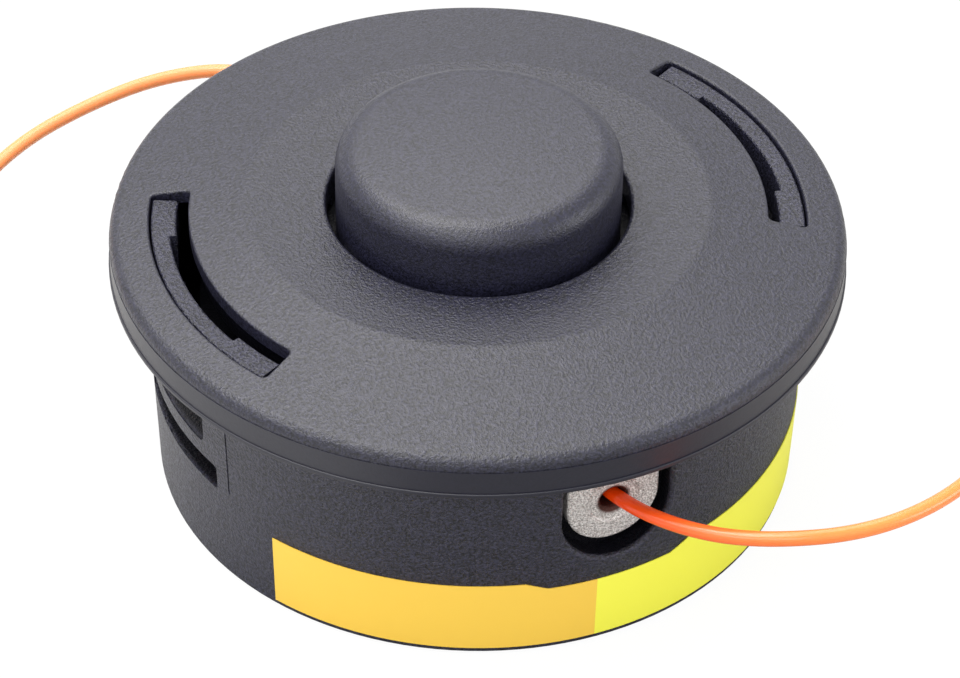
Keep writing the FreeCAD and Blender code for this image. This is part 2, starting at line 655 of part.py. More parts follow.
def knob_crown():
    """Fillet and crown of the knob's end: tangent points and a point on each arc."""
    fillet_centre_r = KNOB_RADIUS - KNOB_FILLET
    crown_centre_z = KNOB_TOP - KNOB_CROWN_RADIUS
    to_fillet = KNOB_CROWN_RADIUS - KNOB_FILLET
    fillet_centre_z = crown_centre_z + math.sqrt(to_fillet ** 2 - fillet_centre_r ** 2)
    tilt = math.asin(fillet_centre_r / to_fillet)
    bend = (math.pi / 2 + tilt) / 2
    on_fillet = (
        fillet_centre_r + KNOB_FILLET * math.sin(bend),
        fillet_centre_z + KNOB_FILLET * math.cos(bend),
    )
    crown_end, on_crown = [
        (KNOB_CROWN_RADIUS * math.sin(angle), crown_centre_z + KNOB_CROWN_RADIUS * math.cos(angle))
        for angle in (tilt, tilt / 2)
    ]
    return [
        (KNOB_RADIUS, fillet_centre_z),
        ("through", *on_fillet),
        crown_end,
        ("through", *on_crown),
        (0, KNOB_TOP),
    ]


def spool_body():
    """Hub, three flanges and closed knob as one turned section."""
    return revolved([
        (HUB_BORE, SPOOL_FOOT),
        (SPOOL_FLANGE_RADIUS, SPOOL_FOOT),
        (SPOOL_FLANGE_RADIUS, LOWER_CHAMBER_FOOT),
        (KNOB_RADIUS, LOWER_CHAMBER_FOOT),
        (KNOB_RADIUS, DIVIDER_FOOT),
        (SPOOL_FLANGE_RADIUS, DIVIDER_FOOT),
        (SPOOL_FLANGE_RADIUS, UPPER_CHAMBER_FOOT),
        (KNOB_RADIUS, UPPER_CHAMBER_FOOT),
        (KNOB_RADIUS, TOP_FLANGE_FOOT),
        (SPOOL_FLANGE_RADIUS, TOP_FLANGE_FOOT),
        (SPOOL_FLANGE_RADIUS, SPOOL_TOP),
        (KNOB_RADIUS, SPOOL_TOP),
        *knob_crown(),
        (0, KNOB_TOP - KNOB_TOP_WALL),
        (HUB_BORE, KNOB_TOP - KNOB_TOP_WALL, HUB_INNER_FILLET),
    ])


def hub_rib():
    """One rib inside the knob that runs on the centre post and seats the spring."""
    inner = POST_RADIUS + HUB_CLEARANCE
    return Part.makeBox(HUB_BORE + HUB_WALL / 2 - inner, HUB_RIB_THICKNESS,
                        KNOB_TOP - KNOB_TOP_WALL / 2 - KNOB_FILLET / 2 - HUB_RIB_FOOT,
                        V(inner, -HUB_RIB_THICKNESS / 2, HUB_RIB_FOOT))


def spool_dogs():
    """The spool's index dogs: one above the top flange and one below the bottom flange."""
    inner = KNOB_RADIUS - HUB_WALL / 2
    over = SPOOL_FLANGE_THICKNESS / 2
    upper = ring_sector(inner, DOG_OUTER_RADIUS, SPOOL_TOP - over, SPOOL_TOP + DOG_HEIGHT - DOG_CLEARANCE, 0,
                        DOG_HALF_ANGLE)
    lower = ring_sector(inner, DOG_OUTER_RADIUS, SPOOL_FOOT - DOG_HEIGHT, SPOOL_FOOT + over, 0,
                        DOG_HALF_ANGLE)
    return [upper, lower]


def spool():
    """Line spool and bump knob, one moulding."""
    added = pattern(hub_rib(), HUB_RIB_COUNT)
    for dog in spool_dogs():
        added += pattern(dog, DOG_COUNT)
    return joined(spool_body(), added)


def eyelet():
    """The front eyelet: two U-shaped plates and a neck, bored along Y with a rounded mouth."""
    plate = u_prism(EYELET_HALF_WIDTH, EYELET_Z, EYELET_TOP, EYELET_FACE - EYELET_PLATE, EYELET_FACE)
    front_rim = [e for e in plate.Edges if e.BoundBox.YMax < -EYELET_FACE + EYELET_EDGE / 2]
    plate = plate.makeFillet(EYELET_EDGE, front_rim)
    neck = u_prism(EYELET_NECK_HALF_WIDTH, EYELET_Z, EYELET_TOP, EYELET_BACK, EYELET_FACE - EYELET_PLATE / 2)
    back_plate = u_prism(EYELET_HALF_WIDTH, EYELET_Z, EYELET_TOP, EYELET_BACK,
                         EYELET_BACK + EYELET_INNER_PLATE)
    flare = EYELET_MOUTH_RADIUS - EYELET_BORE_RADIUS
    mouth_start = EYELET_FACE - flare
    eased = EYELET_BORE_RADIUS + flare * (1 - math.sqrt(0.5))
    bore = revolved([
        (0, EYELET_BACK - EYELET_PLATE),
        (EYELET_BORE_RADIUS, EYELET_BACK - EYELET_PLATE),
        (EYELET_BORE_RADIUS, mouth_start),
        ("through", eased, mouth_start + flare * math.sqrt(0.5)),
        (EYELET_MOUTH_RADIUS, EYELET_FACE),
        (EYELET_MOUTH_RADIUS, EYELET_FACE + EYELET_PLATE),
        (0, EYELET_FACE + EYELET_PLATE),
    ])
    bore.rotate(ORIGIN, V(1, 0, 0), 90)
    bore.translate(V(0, 0, EYELET_Z))
    return joined(plate, [neck, back_plate]).cut(bore)


def threaded_insert():
    """The insert that the spindle screws into: a flange, a hexagon against turning and a round shank."""
    foot = V(0, 0, INSERT_DEPTH)
    flange = Part.makeCylinder(INSERT_FLANGE_RADIUS, INSERT_FLANGE_THICKNESS, foot)
    body = hexagon(INSERT_ACROSS_FLATS, INSERT_DEPTH, INSERT_DEPTH + INSERT_HEX_LENGTH)
    shank = Part.makeCylinder(INSERT_SHANK_RADIUS, INSERT_LENGTH, foot)
    wide = THREAD_MINOR_RADIUS + INSERT_CHAMFER
    top = INSERT_DEPTH + INSERT_LENGTH
    bore = revolved([
        (0, INSERT_DEPTH),
        (wide, INSERT_DEPTH),
        (THREAD_MINOR_RADIUS, INSERT_DEPTH + INSERT_CHAMFER),
        (THREAD_MINOR_RADIUS, top - INSERT_CHAMFER),
        (wide, top),
        (0, top),
    ])
    return joined(flange, [body, shank]).cut(bore)


def feed_spring():
    """The coil between the housing floor and the knob's ribs, with ground ends."""
    length = HUB_RIB_FOOT - FLOOR_TOP
    path = Part.Wire(Part.makeHelix(length / SPRING_TURNS, length, SPRING_MEAN_RADIUS))
    circle = Part.Wire(Part.makeCircle(SPRING_WIRE / 2, V(SPRING_MEAN_RADIUS, 0, 0), V(0, 1, 0)))
    coil = path.makePipeShell([circle], True, True)
    coil.translate(V(0, 0, FLOOR_TOP))
    return coil.common(Part.makeCylinder(SPRING_MEAN_RADIUS + SPRING_WIRE, length, V(0, 0, FLOOR_TOP)))


def winding(foot):
    """The wound line in one chamber of the spool, with the turns of its outer layer."""
    inner = KNOB_RADIUS + WINDING_CLEARANCE
    start = foot + CHAMBER_SLACK / 2
    corners = [(inner, start)]
    for turn in range(LINE_TURNS_PER_LAYER):
        z = start + turn * LINE_DIAMETER
        corners.append((WINDING_OUTER_RADIUS - SCALLOP_DEPTH, z))
        corners.append(("through", WINDING_OUTER_RADIUS, z + LINE_DIAMETER / 2))
    top = start + LINE_TURNS_PER_LAYER * LINE_DIAMETER
    corners += [(WINDING_OUTER_RADIUS - SCALLOP_DEPTH, top), (inner, top)]
    return revolved(corners)


def line_tail(route):
    """One free tail of the line at -Y, straight runs joined by tangent arcs."""
    points = [V(across, -EYELET_FACE - out, EYELET_Z + up) for across, out, up in route]
    edges, radii, start = [], [], points[0]
    for before, corner, after in zip(points, points[1:], points[2:]):
        turn = (corner - before).getAngle(after - corner)
        shorter = min(corner.distanceToPoint(before), after.distanceToPoint(corner))
        radius = TAIL_ARC_SHARE * shorter / math.tan(turn / 2)
        arc_start, middle, arc_end = corner_arc(before, corner, after, radius)
        edges.append(Part.LineSegment(start, arc_start).toShape())
        edges.append(Part.Arc(arc_start, middle, arc_end).toShape())
        radii.append(radius)
        start = arc_end
    edges.append(Part.LineSegment(start, points[-1]).toShape())
    path = Part.Wire(edges)
    end_face = Part.Wire(Part.makeCircle(LINE_DIAMETER / 2, points[0], points[1] - points[0]))
    tube = path.makePipeShell([end_face], True, False)
    ideal = math.pi * LINE_DIAMETER ** 2 / 4 * path.Length
    print("tail length", round(path.Length, 2), "radii", [round(r, 1) for r in radii])
    print("tail volume over section times length", round(tube.Volume / ideal, 5))
    return tube


def label_band():
    """The thin label on the drum, with the shallow notch in its upper edge under the front eyelet."""
    lift = LABEL_CLEARANCE
    band = revolved([
        (drum_radius(LABEL_FOOT) + lift, LABEL_FOOT),
        (drum_radius(LABEL_FOOT) + lift + LABEL_THICKNESS, LABEL_FOOT),
        (drum_radius(LABEL_TOP) + lift + LABEL_THICKNESS, LABEL_TOP),
        (drum_radius(LABEL_TOP) + lift, LABEL_TOP),
    ], LABEL_START_ANGLE, LABEL_END_ANGLE - LABEL_START_ANGLE)
    low = LABEL_TOP - LABEL_NOTCH_DEPTH
    near, far = DRUM_FOOT_RADIUS / 2, FLANGE_RADIUS
    outline_points = [
        V(-LABEL_NOTCH_HALF_WIDTH, -near, low),
        V(LABEL_NOTCH_HALF_WIDTH, -near, low),
        V(LABEL_NOTCH_HALF_WIDTH + LABEL_NOTCH_RAMP, -near, LABEL_TOP),
        V(LABEL_NOTCH_HALF_WIDTH + LABEL_NOTCH_RAMP, -near, DRUM_HEIGHT),
        V(-LABEL_NOTCH_HALF_WIDTH - LABEL_NOTCH_RAMP, -near, DRUM_HEIGHT),
        V(-LABEL_NOTCH_HALF_WIDTH - LABEL_NOTCH_RAMP, -near, LABEL_TOP),
    ]
    notch = Part.Face(Part.makePolygon(outline_points + outline_points[:1])).extrude(V(0, near - far, 0))
    return band.cut(turned(notch, LABEL_NOTCH_ANGLE - 270))


def main():
    """Builds every piece and writes each to its own file."""
    os.makedirs("parts", exist_ok=True)
    front_eyelet, rear_eyelet = pair(eyelet())
    pieces = {
        "housing": housing(),
        "cover": cover(),
        "spool_with_bump_knob": spool(),
        "feed_spring": feed_spring(),
        "threaded_insert": threaded_insert(),
        "eyelet_front": front_eyelet,
        "eyelet_rear": rear_eyelet,
        "line_winding_lower": winding(LOWER_CHAMBER_FOOT),
        "line_winding_upper": winding(UPPER_CHAMBER_FOOT),
        "line_tail_front": line_tail(FRONT_TAIL_ROUTE),
        "line_tail_rear": turned(line_tail(REAR_TAIL_ROUTE), 180),
        "label_band": label_band(),
    }
    for name, shape in pieces.items():
        only_solid(shape).exportStep(f"parts/{name}.step")


main()
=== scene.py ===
"""Looks of the bump feed trimmer head: finishes, line tails, feed spring, spindle thread, light and camera.

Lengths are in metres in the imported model's frame: the axis is Z, the base lies on Z = 0 and the knob is up.
Angles are in degrees, and azimuths run from +X towards +Y.
"""
import math

import bpy
import numpy as np
from mathutils import Matrix, Vector


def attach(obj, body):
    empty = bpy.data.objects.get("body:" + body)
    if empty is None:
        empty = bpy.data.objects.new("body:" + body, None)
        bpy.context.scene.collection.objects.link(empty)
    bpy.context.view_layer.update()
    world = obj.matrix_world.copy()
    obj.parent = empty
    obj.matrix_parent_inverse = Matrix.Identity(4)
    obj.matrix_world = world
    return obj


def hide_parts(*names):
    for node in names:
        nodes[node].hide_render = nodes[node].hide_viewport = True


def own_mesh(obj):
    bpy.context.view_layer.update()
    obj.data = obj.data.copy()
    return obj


MM = 0.001

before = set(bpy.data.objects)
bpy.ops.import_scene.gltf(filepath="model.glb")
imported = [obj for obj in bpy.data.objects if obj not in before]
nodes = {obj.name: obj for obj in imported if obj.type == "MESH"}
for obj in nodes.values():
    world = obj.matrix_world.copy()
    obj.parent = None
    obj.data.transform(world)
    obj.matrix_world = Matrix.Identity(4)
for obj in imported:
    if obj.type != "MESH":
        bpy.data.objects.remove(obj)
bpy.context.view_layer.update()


# Camera at the photograph's angle
CAMERA_TARGET = (0.75 * MM, 0.15 * MM, 20.1 * MM)
CAMERA_AZIMUTH = 245.12
CAMERA_ELEVATION = 40.14
CAMERA_ROLL = 1.01
CAMERA_DISTANCE = 618.25 * MM
CAMERA_LENS = 139.131
CAMERA_NEAR = 10.0 * MM
SENSOR_WIDTH = 36.0

# Mouldings. The real grain, about 0.2 mm, is too fine to show in the render, so it is drawn coarser.
NYLON_GRAIN = 0.5 * MM
NYLON_IOR = 1.53
GRAIN_PIT = 0.36
GRAIN_PEAK = 0.64
GRAIN_GLOSS = 0.06

# The rim's band below its step is polished
RIM_STEP_HEIGHT = 44.35 * MM
RIM_STEP_BLEND = 0.1 * MM
POLISHED_GRAIN = 0.12
POLISHED_TONE = 0.35

# Walls out of the light, painted dark as painted shade: the radius at Z = 0, its growth with height, and the
# lowest and highest level
HOUSING_POCKETS = (53.26 * MM, 0.0289, 14.0 * MM, 39.4 * MM)
SPOOL_UNDER_COVER = (62.0 * MM, 0.0, 0.0, 44.0 * MM)
POCKET_EDGE = 0.2 * MM
POCKET_INSIDE = 0.9 * MM
# The pockets' painted shade: a near-black colour and a dimmed gloss
POCKET_PAINTED_SHADE_COLOUR = "#0e0e14"
POCKET_PAINTED_SHADE_GLOSS = "#4a4a4a"

# Eyelets. The real dents of the blasting, about 0.1 mm, are too fine to show, so they are drawn coarser.
EYELET_FACE = 51.77 * MM
EYELET_HEIGHT = 28.0 * MM
BLASTED_DENT = 0.32 * MM
DENT_LOW = 0.33
DENT_HIGH = 0.67
DENT_DEPTH = 0.3 * MM
# Round the hole, painted shade with a painted reflection of the line: full within the first radius, gone past
# the second
PAINTED_SHADE_FULL_RADIUS = 2.5 * MM
PAINTED_SHADE_END_RADIUS = 3.1 * MM
DISH_RADIUS = 3.9 * MM
DISH_EDGE_RADIUS = 4.5 * MM
DISH_RISE = 0.8

# Label
LABEL_SPLIT_ANGLE = 266.7
LABEL_RIPPLE = 6.0 * MM
LABEL_RIPPLE_DEPTH = 0.03 * MM

# Line and its tails. A route's points are across the eyelet's face, out from it and up, in millimetres.
LINE_DIAMETER = 2.4 * MM
# The line's deep dye colour at the eyelets; away from them it fades, over these distances, to a paler colour
# that is painted light
LINE_AT_EYELET = "#ff4606"
LINE_GLOW = 0.25
LINE_GLOW_DEPTH = 0.8 * MM
FRONT_TAIL_FADE = 32 * MM
REAR_TAIL_FADE = 16 * MM
FRONT_TAIL_ROUTE = [
    (-0.5, -5.3, 0.0),
    (0.8, 1.5, 0.0),
    (7.5, 12.6, 1.0),
    (16.1, 20.7, 2.9),
    (30.4, 25.3, 3.2),
    (45.6, 23.2, 2.4),
    (60.0, 15.8, 1.4),
    (72.4, 5.0, 2.0),
    (81.4, -8.8, 2.0),
    (86.0, -23.8, 1.6),
]
REAR_TAIL_ROUTE = [
    (-0.2, -5.3, 0.0),
    (0.5, 3.0, 0.1),
    (5.6, 13.6, 1.2),
    (13.5, 22.8, 2.3),
    (27.2, 25.4, 2.3),
    (42.0, 22.4, 2.3),
    (56.2, 16.2, 2.7),
    (69.2, 6.4, 2.0),
    (79.2, -6.5, 1.6),
    (85.8, -20.5, 1.2),
]

# Feed spring
SPRING_FOOT = 5.5 * MM
SPRING_TOP = 39.8 * MM
SPRING_WIRE = 1.6 * MM
SPRING_RADIUS = 16.4 * MM
SPRING_TURNS = 4.5
SPRING_CLOSED_TURNS = 0.75
SPRING_CLOSED_RISE = 0.12

# Threaded insert, M10 by 1 left-hand
INSERT_FOOT = 0.4 * MM
INSERT_TOP = 13.4 * MM
INSERT_FLANGE_TOP = 2.4 * MM
INSERT_HEX_TOP = 6.0 * MM
INSERT_FLANGE_RADIUS = 10.8 * MM
INSERT_ACROSS_FLATS = 17.0 * MM
INSERT_SHANK_RADIUS = 8.0 * MM
INSERT_EDGE = 0.25 * MM
INSERT_MOUTH = 0.6 * MM
THREAD_MINOR_RADIUS = 4.46 * MM
THREAD_MAJOR_RADIUS = 5.0 * MM
THREAD_PITCH = 1.0 * MM
THREAD_STEEPNESS = 1.15
THREAD_ROOT_FLAT = 0.08

# Turned and drawn steel: marks this far apart round the piece, and closer along Z
TOOL_MARK = 1.2 * MM
TOOL_MARK_STRETCH = 6.0
TOOL_MARK_GLOSS = 0.08

# Studio
WORLD_STRENGTH = 0.65
FLOOR_HEIGHT = -0.05 * MM
FLOOR_HALF_WIDTH = 3.0
PAPER_BOUNCE = 0.46
PAPER_SEEN = 0.05
PAPER_LIFT = 0.95

# The paper's tone in gloss, with painted shadow in front and painted light to the sides, and the way and the
# distances over which it changes to each side
PAPER_MIRRORED_FRONT = 0.26
PAPER_MIRRORED_LEFT = 0.58
PAPER_LEFT_ANGLE = 150.0
PAPER_LEFT_NEAR = 10 * MM
PAPER_LEFT_FAR = 45 * MM
PAPER_MIRRORED_RIGHT = 0.46
PAPER_RIGHT_ANGLE = 20.0
PAPER_RIGHT_NEAR = 0 * MM
PAPER_RIGHT_FAR = 40 * MM

# Softboxes: azimuth, elevation, width, height, radiance and tint
SOFTBOX_DISTANCE = 1.0
SOFTBOXES = {
    "top_softbox": (175, 78, 0.62, 0.56, 5.8, "#fffdf6"),
    "back_softbox": (88, 62, 1.2, 0.95, 2.7, "#fffdf6"),
    "front_softbox": (230, 42, 0.9, 0.4, 2.7, "#ffffff"),
    "left_softbox": (175, 45, 0.6, 0.5, 2.6, "#ffffff"),
    "right_softbox": (325, 12, 0.6, 0.4, 3.3, "#ffffff"),
}


def colour(hex_value):
    """An sRGB hex colour as linear red, green, blue and alpha."""
    channels = [int(hex_value[i:i + 2], 16) / 255 for i in (1, 3, 5)]
    linear = [c / 12.92 if c <= 0.04045 else ((c + 0.055) / 1.055) ** 2.4 for c in channels]
    return (*linear, 1.0)


def add_node(tree, kind, inputs=None, **settings):
    """Adds a node with its settings. Each input is a constant or the socket that it is linked from."""
    node = tree.nodes.new(kind)
    for name, value in settings.items():
        setattr(node, name, value)
    for name, value in (inputs or {}).items():
        if isinstance(value, bpy.types.NodeSocket):
            tree.links.new(value, node.inputs[name])
        else:
            node.inputs[name].default_value = value
    return node


def new_material(name):
    """An empty node material, its tree and the place on the piece that its patterns follow."""
    material = bpy.data.materials.new(name)
    material.use_nodes = True
    tree = material.node_tree
    tree.nodes.clear()
    return material, tree, add_node(tree, "ShaderNodeTexCoord").outputs["Object"]


def finish_material(tree, shader):
    """Links a shader to the material's output."""
    add_node(tree, "ShaderNodeOutputMaterial", {"Surface": shader})


def flat_distance(tree, place, plane):
    """The length of a place's components that the plane keeps, such as (1, 1, 0) for the distance from Z."""
    kept = add_node(tree, "ShaderNodeVectorMath", {
        0: place, 1: plane,
    }, operation="MULTIPLY").outputs["Vector"]
    return add_node(tree, "ShaderNodeVectorMath", {0: kept}, operation="LENGTH").outputs["Value"]


def distance_along(tree, place, angle):
    """The distance of a place from the axis along one level direction."""
    way = math.radians(angle)
    return add_node(tree, "ShaderNodeVectorMath", {
        0: place, 1: (math.cos(way), math.sin(way), 0.0),
    }, operation="DOT_PRODUCT").outputs["Value"]


def dress(obj, material):
    """Gives an object one material."""
    obj.data.materials.clear()
    obj.data.materials.append(material)


def grid_mesh(name, points, close_u=False, close_v=False, caps=False):
    """A mesh object from an array of points on a grid (u, v, xyz), with quads between neighbours.

    Caps close the first and the last row, each with one face.
    """
    rows, columns = points.shape[:2]
    index = np.arange(rows * columns).reshape(rows, columns)
    if close_u:
        index = np.concatenate([index, index[:1]])
    if close_v:
        index = np.concatenate([index, index[:, :1]], axis=1)
    corners = [index[:-1, :-1], index[:-1, 1:], index[1:, 1:], index[1:, :-1]]
    faces = np.stack(corners, axis=-1).reshape(-1, 4).tolist()
    if caps:
        last_row = (rows - 1) * columns
        faces.append(list(range(columns))[::-1])
        faces.append(list(range(last_row, last_row + columns)))
    mesh = bpy.data.meshes.new(name)
    mesh.from_pydata(points.reshape(-1, 3).tolist(), [], faces)
    mesh.validate()
    obj = bpy.data.objects.new(name, mesh)
    bpy.context.scene.collection.objects.link(obj)
    return obj


def painted_pocket_shade_mask(tree, place, height, pockets):
    """Where the pockets' painted shade goes: one on walls that lie inside a cone and between two levels, and
    nought elsewhere.

    The depth inside is the cone's radius, which grows evenly with height, less the distance from the axis.
    """
    radius, growth, foot, top = pockets
    reach = flat_distance(tree, place, (1.0, 1.0, 0.0))
    cone = add_node(tree, "ShaderNodeMath", {
        0: height, 1: growth, 2: radius,
    }, operation="MULTIPLY_ADD").outputs["Value"]
    depth = add_node(tree, "ShaderNodeMath", {0: cone, 1: reach}, operation="SUBTRACT").outputs["Value"]
    inside = add_node(tree, "ShaderNodeMapRange", {
        "Value": depth, "From Min": POCKET_EDGE, "From Max": POCKET_INSIDE,
    }).outputs["Result"]
    above = add_node(tree, "ShaderNodeMath", {0: height, 1: foot}, operation="GREATER_THAN").outputs["Value"]
    below = add_node(tree, "ShaderNodeMath", {0: height, 1: top}, operation="LESS_THAN").outputs["Value"]
    between = add_node(tree, "ShaderNodeMath", {0: above, 1: below}, operation="MULTIPLY").outputs["Value"]
    return add_node(tree, "ShaderNodeMath", {0: inside, 1: between}, operation="MULTIPLY").outputs["Value"]


def moulded_nylon(name, pit_colour_and_painted_shade, peak_colour, grain_depth, roughness, polished_below=None, pockets=None):
    """Black glass-filled nylon from a spark-eroded mould: a dull, slightly blue black with a leathery grain.

    The grain is a noise whose pits are darker and duller than its peaks: partly the grain's own tone, partly
    painted shade in its hollows. Below a height, polished_below, the mould is polished, so the grain fades
    out there.
    Walls in the pockets are painted nearly black, with little gloss, as painted shade where light does not
    reach.
    """
    material, tree, place = new_material(name)
    height = add_node(tree, "ShaderNodeSeparateXYZ", {"Vector": place}).outputs["Z"]
    grain = add_node(tree, "ShaderNodeTexNoise", {
        "Vector": place, "Scale": 1 / NYLON_GRAIN, "Detail": 2.0, "Roughness": 0.7,
    }).outputs["Fac"]
    amount = 1.0
    if polished_below is not None:
        amount = add_node(tree, "ShaderNodeMapRange", {
            "Value": height,
            "From Min": polished_below - RIM_STEP_BLEND, "From Max": polished_below + RIM_STEP_BLEND,
            "To Min": POLISHED_GRAIN, "To Max": 1.0,
        }).outputs["Result"]
    peaks = add_node(tree, "ShaderNodeMapRange", {
        "Value": grain, "From Min": GRAIN_PIT, "From Max": GRAIN_PEAK,
    }).outputs["Result"]
    shown = add_node(tree, "ShaderNodeMix", {0: amount, 2: POLISHED_TONE, 3: peaks}).outputs[0]
    bump = add_node(tree, "ShaderNodeBump", {
        "Height": grain, "Strength": amount, "Distance": grain_depth,
    }).outputs["Normal"]
    gloss = add_node(tree, "ShaderNodeMapRange", {
        "Value": shown, "To Min": roughness + GRAIN_GLOSS, "To Max": roughness - GRAIN_GLOSS,
    }).outputs["Result"]
    tint = add_node(tree, "ShaderNodeMix", {
        0: shown, 6: colour(pit_colour_and_painted_shade), 7: colour(peak_colour),
    }, data_type="RGBA").outputs[2]
    sockets = {"Base Color": tint, "Roughness": gloss, "IOR": NYLON_IOR, "Normal": bump}
    # Painted shade: walls in the pockets take a near-black colour and a dimmed gloss
    if pockets is not None:
        dark = painted_pocket_shade_mask(tree, place, height, pockets)
        sockets["Base Color"] = add_node(tree, "ShaderNodeMix", {
            0: dark, 6: tint, 7: colour(POCKET_PAINTED_SHADE_COLOUR),
        }, data_type="RGBA").outputs[2]
        sockets["Specular Tint"] = add_node(tree, "ShaderNodeMix", {
            0: dark, 6: colour("#ffffff"), 7: colour(POCKET_PAINTED_SHADE_GLOSS),
        }, data_type="RGBA").outputs[2]
    shader = add_node(tree, "ShaderNodeBsdfPrincipled", sockets)
    finish_material(tree, shader.outputs["BSDF"])
    return material


def bead_blasted_alloy(name):
    """Cast zinc alloy, bead blasted: pale grey metal whose fine dents glitter, partly from their bumps and
    partly painted as paler and darker speckle in the colour.

    Round the hole it is painted a dark reddish brown, which is painted shade in the hole with a painted
    reflection of the orange line, and a shallow dished ring lies outside that.
    """
    material, tree, place = new_material(name)
    dents = add_node(tree, "ShaderNodeTexNoise", {
        "Vector": place, "Scale": 1 / BLASTED_DENT, "Detail": 2.0, "Roughness": 0.6,
    }).outputs["Fac"]
    contrast = add_node(tree, "ShaderNodeMapRange", {
        "Value": dents, "From Min": DENT_LOW, "From Max": DENT_HIGH,
    }).outputs["Result"]
    from_hole = add_node(tree, "ShaderNodeVectorMath", {
        0: place, 1: (0.0, 0.0, EYELET_HEIGHT),
    }, operation="SUBTRACT").outputs["Vector"]
    radius = flat_distance(tree, from_hole, (1.0, 0.0, 1.0))
    outside_painted_shade = add_node(tree, "ShaderNodeMapRange", {
        "Value": radius, "From Min": PAINTED_SHADE_FULL_RADIUS, "From Max": PAINTED_SHADE_END_RADIUS,
    }).outputs["Result"]
    dish = add_node(tree, "ShaderNodeMapRange", {
        "Value": radius, "From Min": DISH_RADIUS, "From Max": DISH_EDGE_RADIUS, "To Max": DISH_RISE,
    }).outputs["Result"]
    surface = add_node(tree, "ShaderNodeMath", {0: dents, 1: dish}, operation="ADD").outputs["Value"]
    bump = add_node(tree, "ShaderNodeBump", {
        "Height": surface, "Strength": 1.0, "Distance": DENT_DEPTH,
    }).outputs["Normal"]
    # The dents' glitter is partly painted: paler and darker speckle in the colour
    blasted = add_node(tree, "ShaderNodeMix", {
        0: contrast, 6: colour("#a19997"), 7: colour("#fffbf9"),
    }, data_type="RGBA").outputs[2]
    # Round the hole a dark reddish brown is painted: painted shade in the hole and a painted reflection of
    # the orange line
    tint = add_node(tree, "ShaderNodeMix", {
        0: outside_painted_shade, 6: colour("#4a2a22"), 7: blasted,
    }, data_type="RGBA").outputs[2]
    shader = add_node(tree, "ShaderNodeBsdfPrincipled", {
        "Base Color": tint, "Metallic": 0.5, "Roughness": 0.36, "Normal": bump,
    })
    finish_material(tree, shader.outputs["BSDF"])
    return material


def drawn_steel(name, tone, roughness):
    """Drawn or turned steel: grey metal with fine tool marks round the piece, which vary its gloss."""
    material, tree, place = new_material(name)
    stretched = add_node(tree, "ShaderNodeMapping", {
        "Vector": place, "Scale": (1.0, 1.0, TOOL_MARK_STRETCH),
    }).outputs["Vector"]
    marks = add_node(tree, "ShaderNodeTexNoise", {
        "Vector": stretched, "Scale": 1 / TOOL_MARK, "Detail": 3.0,
    }).outputs["Fac"]
    gloss = add_node(tree, "ShaderNodeMapRange", {
        "Value": marks, "To Min": roughness - TOOL_MARK_GLOSS, "To Max": roughness + TOOL_MARK_GLOSS,
    }).outputs["Result"]
    shader = add_node(tree, "ShaderNodeBsdfPrincipled", {
        "Base Color": colour(tone), "Metallic": 1.0, "Roughness": gloss,
    })
    finish_material(tree, shader.outputs["BSDF"])
    return material


def drawn_nylon_line(name, painted_light_colour, fade):
    """Nylon monofilament, dyed clear orange, so light glows through it, with a soft gloss along its length.

    It is deep orange at the eyelets and fades over a distance to the paler outer colour, which is painted
    light: it stands for the light that comes through the line away from the head.
    """
    material, tree, place = new_material(name)
    painted_light_outward = add_node(tree, "ShaderNodeMapRange", {
        "Value": flat_distance(tree, place, (1.0, 1.0, 0.0)),
        "From Min": EYELET_FACE, "From Max": EYELET_FACE + fade,
    }).outputs["Result"]
    tint = add_node(tree, "ShaderNodeMix", {
        0: painted_light_outward, 6: colour(LINE_AT_EYELET), 7: colour(painted_light_colour),
    }, data_type="RGBA").outputs[2]
    shader = add_node(tree, "ShaderNodeBsdfPrincipled", {
        "Base Color": tint, "Roughness": 0.2, "IOR": NYLON_IOR, "Subsurface Weight": LINE_GLOW,
        "Subsurface Radius": (1.0, 0.45, 0.2), "Subsurface Scale": LINE_GLOW_DEPTH,
    })
    finish_material(tree, shader.outputs["BSDF"])
    return material


def label_film(name):
    """Printed polyester film with a satin face: an amber field and a yellow field that meet at one angle."""
    material, tree, place = new_material(name)
    past_split = distance_along(tree, place, LABEL_SPLIT_ANGLE + 90)
    field = add_node(tree, "ShaderNodeMath", {
        0: past_split, 1: 0.0,
    }, operation="GREATER_THAN").outputs["Value"]
    tint = add_node(tree, "ShaderNodeMix", {
        0: field, 6: colour("#fcd04e"), 7: colour("#fdfc50"),
    }, data_type="RGBA").outputs[2]
    ripple = add_node(tree, "ShaderNodeTexNoise", {
        "Vector": place, "Scale": 1 / LABEL_RIPPLE, "Detail": 1.0,
    }).outputs["Fac"]
    bump = add_node(tree, "ShaderNodeBump", {
        "Height": ripple, "Strength": 1.0, "Distance": LABEL_RIPPLE_DEPTH,
    }).outputs["Normal"]
    shader = add_node(tree, "ShaderNodeBsdfPrincipled", {
        "Base Color": tint, "Roughness": 0.4, "IOR": 1.46, "Normal": bump,
    })
    finish_material(tree, shader.outputs["BSDF"])
    return material


def tail_points(route, side):
    """A tail's control points in the head's frame. The rear tail, side -1, is turned half round."""
    across, out, up = np.array(route).T * MM
    return np.stack([side * across, -side * (EYELET_FACE + out), EYELET_HEIGHT + up], axis=-1)


